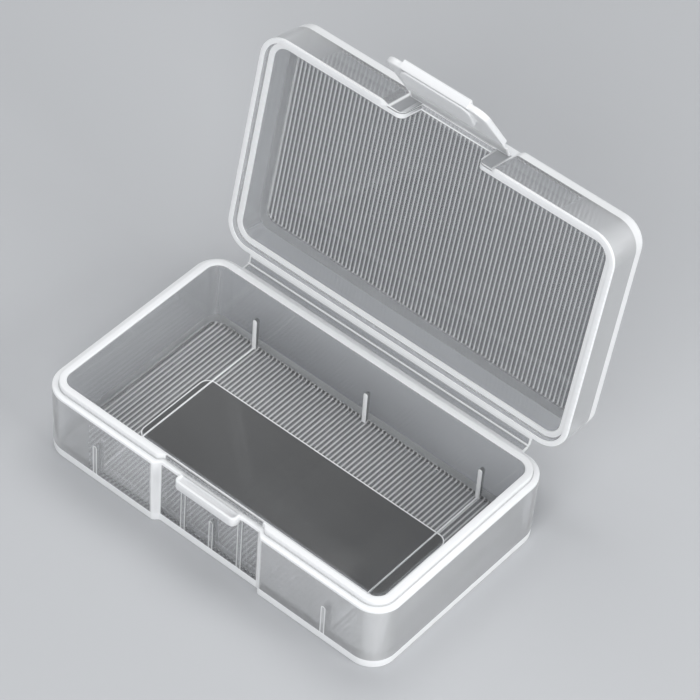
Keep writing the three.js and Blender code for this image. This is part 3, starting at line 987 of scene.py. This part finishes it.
# The lid: a shallower shell that seats over the tray's lip, with the same recess and jogs in front
# and a notch with rounded corners that clears the catch. Its whole plate is reeded outside.
lid_rim = tray_height + 0.2 * mm
lid_top = tray_height + 9.6 * mm
plate_inner = lid_top - 1.5 * mm
lid_seat = 16.35 * mm
notch_half = 8 * mm
notch_top = lid_top - 3 * mm
notch_fillet = 1.5 * mm
notch_draft = 0.15 * mm
lid_reed_light = (0.33, 0.74)
lid_end_haze = 0.26
lid_recess_edge = 0.05
lid_jog_glow = 0.2 * mm
seat_gap = 0.05 * mm
no_label = (0, 0, 0)
lid_profile = [
    (1.6 * mm, lid_top, recess_face + 0.9 * mm, lid_top, 0, 0.6, "in"),
    (0.5 * mm, lid_top, recess_face, lid_top, 0.7 * mm, 1, "out"),
    (0.34 * mm, lid_top - 2.3 * mm, recess_face, lid_top - 2.3 * mm, 0, 0.9, "out"),
    (0.33 * mm, lid_top - 2.5 * mm, recess_face, lid_top - 2.5 * mm, 0, -0.05, "out"),
    (0, 16.6 * mm, recess_face, 16.7 * mm, 0, -0.05, "out"),
    (0, 15.85 * mm, recess_face, lid_seat + 0.25 * mm, 0, -0.05, "out"),
    (0, 15.7 * mm, recess_face, lid_seat + 0.15 * mm, 0, 1, "out"),
    (0, lid_rim, recess_face, lid_seat, 0.15 * mm, 1, "out"),
    (1.0 * mm, lid_rim, recess_face + 0.1 * mm, lid_seat, 0.1 * mm, 1, "in"),
    (1.0 * mm, lid_rim + 0.2 * mm, recess_face + 0.12 * mm, lid_seat, 0, 0, "in"),
    (1.0 * mm, lid_seat, recess_face + 0.2 * mm, lid_seat, 0.1 * mm, 0, "in"),
    (1.2 * mm, lid_seat, recess_face + 0.3 * mm, lid_seat, 0, 0, "in"),
    (1.3 * mm, lid_seat, recess_face + 0.4 * mm, lid_seat, 0, 1, "seat"),
    (1.95 * mm, lid_seat, recess_face + 0.8 * mm, lid_seat, 0, 1, "seat"),
    (2.35 * mm, lid_seat, recess_face + 1.25 * mm, lid_seat, 0.15 * mm, 1, "in"),
    (2.36 * mm, 16.7 * mm, recess_face + 1.26 * mm, 16.7 * mm, 0, 0, "in"),
    (2.4 * mm, 17.1 * mm, recess_face + 1.3 * mm, 17.1 * mm, 0, -0.22, "in"),
    (2.85 * mm, plate_inner, recess_face + 1.75 * mm, plate_inner, 0.5 * mm, -0.22, "in"),
    (4.2 * mm, plate_inner, recess_face + 3.1 * mm, plate_inner, 0, -0.3, "plate"),
]


def notch_height(x):
    """How high the notch cuts the front wall at a distance x from the middle."""
    side = notch_half + notch_draft
    if x <= notch_half:
        return notch_top
    if x <= side:
        share = (x - notch_half) / notch_draft
        return notch_top + (lid_seat + notch_fillet - notch_top) * share
    if x < side + notch_fillet:
        return lid_seat + notch_fillet - math.sqrt(max(notch_fillet ** 2 - (side + notch_fillet - x) ** 2, 0))
    return 0


def make_lid():
    material = moulded_plastic("lid_polypropylene", clear_tone, shell_haze, plate_inner, lid_reed_light)
    profile = soften(lid_profile)
    rings = [ring(places, *point[:4], notch_height) for point in profile]
    edges = glow(
        places, profile, recess_half + lid_jog_glow, lid_recess_edge, lid_end_haze, notch_half + seat_gap,
    )
    panel = reeded_panel(no_label, -reed_depth, material)
    mesh = close_shell(skin(rings, edges, "lid_wall"), panel, lid_top, "lid_body")
    mesh.transform(lid_turn)
    lid = finish_mesh(mesh, "lid_body", material)
    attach(lid, "lid")
    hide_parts("lid_shell")


make_lid()


# The latch: a flap on its own film hinge over the notch. It snaps down over the ledge, its hook
# goes under the ledge, and the grip outside its free edge is what a thumb lifts.
latch_fold = Vector((0, recess_face - 2.25 * mm, notch_top - 1.3 * mm))
latch_width = 21.5 * mm
latch_half = latch_width / 2
hanging_lap = 0.05 * mm
latch_open = math.radians(47)
latch_turn = lid_turn @ (
    Matrix.Translation(latch_fold) @ Matrix.Rotation(-latch_open, 4, "X") @ Matrix.Translation(-latch_fold)
)
flap_inner = ledge_front - 0.25 * mm
flap_outer = flap_inner - 1.2 * mm
flap_top = latch_fold.z - 1.65 * mm
flap_bottom = latch_fold.z - 14.3 * mm
flap_corner = 2.5 * mm
flap_edge = 0.3 * mm
flap_arc_steps = 10
hook_half = 7.6 * mm
hook_reach = 0.85 * mm
hook_least = 0.3 * mm
hook_corner = 2 * mm
hook_top = ledge_bottom - 0.35 * mm
hook_ramp = hook_top - 1.0 * mm
hook_foot = flap_bottom + 0.7 * mm
hook_sink = -0.1 * mm
grip_half = 7.2 * mm
grip_reach = 0.5 * mm
grip_height = 2.4 * mm
latch_tone = (0.88, 0.89, 0.9, 1)
latch_haze = 0.9
latch_film_tone = (0.82, 0.83, 0.84, 1)
latch_film_haze = 0.4
latch_plastic = moulded_plastic("latch_polypropylene", latch_tone, latch_haze)
latch_film_plastic = moulded_plastic("latch_film_polypropylene", latch_film_tone, latch_film_haze)

# The flap from its outer face to its inner one: inset, y, edge value.
flap_levels = [
    (1.6 * mm, flap_outer, 0.1),
    (flap_edge, flap_outer, 0.5),
    (0.09 * mm, flap_outer + 0.09 * mm, 0.9),
    (0, flap_outer + flap_edge, 0.9),
    (0, flap_inner - flap_edge, 0.9),
    (0.09 * mm, flap_inner - 0.09 * mm, 0.9),
    (flap_edge, flap_inner, 0.7),
    (1.1 * mm, flap_inner, 0.1),
]

# The hook from the flap out to its face: inset, depth under the face, edge value.
hook_levels = [
    (0, 9 * mm, 0.6), (0, 0.22 * mm, 1), (0.06 * mm, 0.06 * mm, 1), (0.22 * mm, 0, 1), (0.5 * mm, 0, 0.3),
]


def flap_ring(inset, y):
    """The flap's face drawn in by inset: square at its hinge, with round corners at its free edge."""
    half = latch_half - inset
    low = flap_bottom + inset
    high = flap_top - inset
    radius = flap_corner - inset
    points = [(-half, high)]
    for centre_x, start in ((-half + radius, 180), (half - radius, 270)):
        points += quarter_arc(centre_x, low + radius, radius, start, flap_arc_steps)
    points.append((half, high))
    return [(x, y, z) for x, z in points]


def make_flap():
    rings = [flap_ring(inset, y) for inset, y, _ in flap_levels]
    mesh = closed_skin(rings, level_edges(flap_levels, rings), "flap", latch_turn)
    return finish_mesh(mesh, "latch_flap_panel", latch_plastic)


def hook_ring(inset, depth):
    """The hook's outline drawn in by inset, with round corners, at a depth under its sloping face."""
    half = hook_half - inset
    low = hook_foot + inset
    high = hook_top - inset
    radius = hook_corner - inset
    top = high - radius
    bottom = low + radius
    outline = []
    for side, centre_z, start in ((1, top, 0), (-1, top, 90), (-1, bottom, 180), (1, bottom, 270)):
        outline += quarter_arc(side * (half - radius), centre_z, radius, start)
    points = []
    for x, z in outline:
        ramp = min((z - hook_foot) / (hook_ramp - hook_foot), 1)
        stand = hook_least + (hook_reach - hook_least) * ramp
        points.append((x, flap_inner + max(stand - depth, hook_sink), z))
    return points


def make_hook():
    rings = [hook_ring(inset, depth) for inset, depth, _ in hook_levels]
    mesh = closed_skin(rings, level_edges(hook_levels, rings), "hook", latch_turn)
    return finish_mesh(mesh, "latch_hook", latch_plastic)


def make_grip():
    low = flap_bottom - 0.2 * mm
    high = low + grip_height
    out = flap_outer - grip_reach
    profile = [
        (flap_outer + 0.1 * mm, high, 0.5), (flap_outer, high, 0.6), (out + 0.12 * mm, low + 0.65 * mm, 1),
        (out, low + 0.4 * mm, 1), (out, low + 0.15 * mm, 1), (out + 0.15 * mm, low, 1),
        (flap_inner - 0.3 * mm, low, 1), (flap_inner - 0.05 * mm, low + 0.15 * mm, 1),
        (flap_inner, low + 0.4 * mm, 1), (flap_inner, high, 0.4), (flap_inner - 0.1 * mm, high, 0.4),
    ]
    return finish_mesh(run_along_x(profile, grip_half, "grip", latch_turn), "latch_grip", latch_plastic)


def make_latch_films():
    root = recess_face + leaf_lap
    root_low = notch_top + fold_gap
    end = latch_fold.y + fold_clear
    end_low = latch_fold.z + fold_gap
    slope = (root_low - end_low) / (root - end)
    mount = [
        (end, end_low, 0.3), (root - 0.5 * mm, root_low - 0.5 * mm * slope, 0), (root, root_low, 0.9),
        (root, root_low + 0.5 * mm, 0.9), (root - 0.55 * mm, root_low + 0.5 * mm, 0.9),
        (root - 0.75 * mm, root_low + film_thickness + 0.05 * mm - 0.75 * mm * slope, 0.4),
        (root - 0.95 * mm, root_low + film_thickness - 0.95 * mm * slope, 0),
        (end, end_low + film_thickness, 0.3),
    ]
    mount_mesh = run_along_x(mount, latch_half, "mount", lid_turn)
    mount_leaf = finish_mesh(mount_mesh, "latch_mount_film", latch_film_plastic)
    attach(mount_leaf, "lid")
    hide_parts("latch_mount_leaf")
    top = latch_fold.z - fold_gap + hanging_lap
    bottom = flap_top + hanging_lap
    hanging = [
        (flap_inner, top, 0.3), (flap_inner, bottom - 0.2 * mm, 0.6),
        (flap_inner - 0.7 * mm, bottom - 0.2 * mm, 0.9), (flap_inner - 0.5 * mm, bottom + 0.15 * mm, 0.7),
        (flap_inner - film_thickness, bottom + 0.4 * mm, 0), (flap_inner - film_thickness, top, 0.3),
    ]
    hanging_mesh = run_along_x(hanging, latch_half, "hanging", latch_turn)
    flap_leaf = finish_mesh(hanging_mesh, "latch_flap_film", latch_film_plastic)
    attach(flap_leaf, "latch")
    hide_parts("latch_hinge_leaf")
    bead_mesh = fold_bead(latch_half, latch_fold, "latch_bead", lid_turn)
    bead = finish_mesh(bead_mesh, "latch_fold_bead", latch_film_plastic)
    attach(bead, "lid")


flap = make_flap()
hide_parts("latch_flap")
for piece in (flap, make_hook(), make_grip()):
    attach(piece, "latch")
make_latch_films()
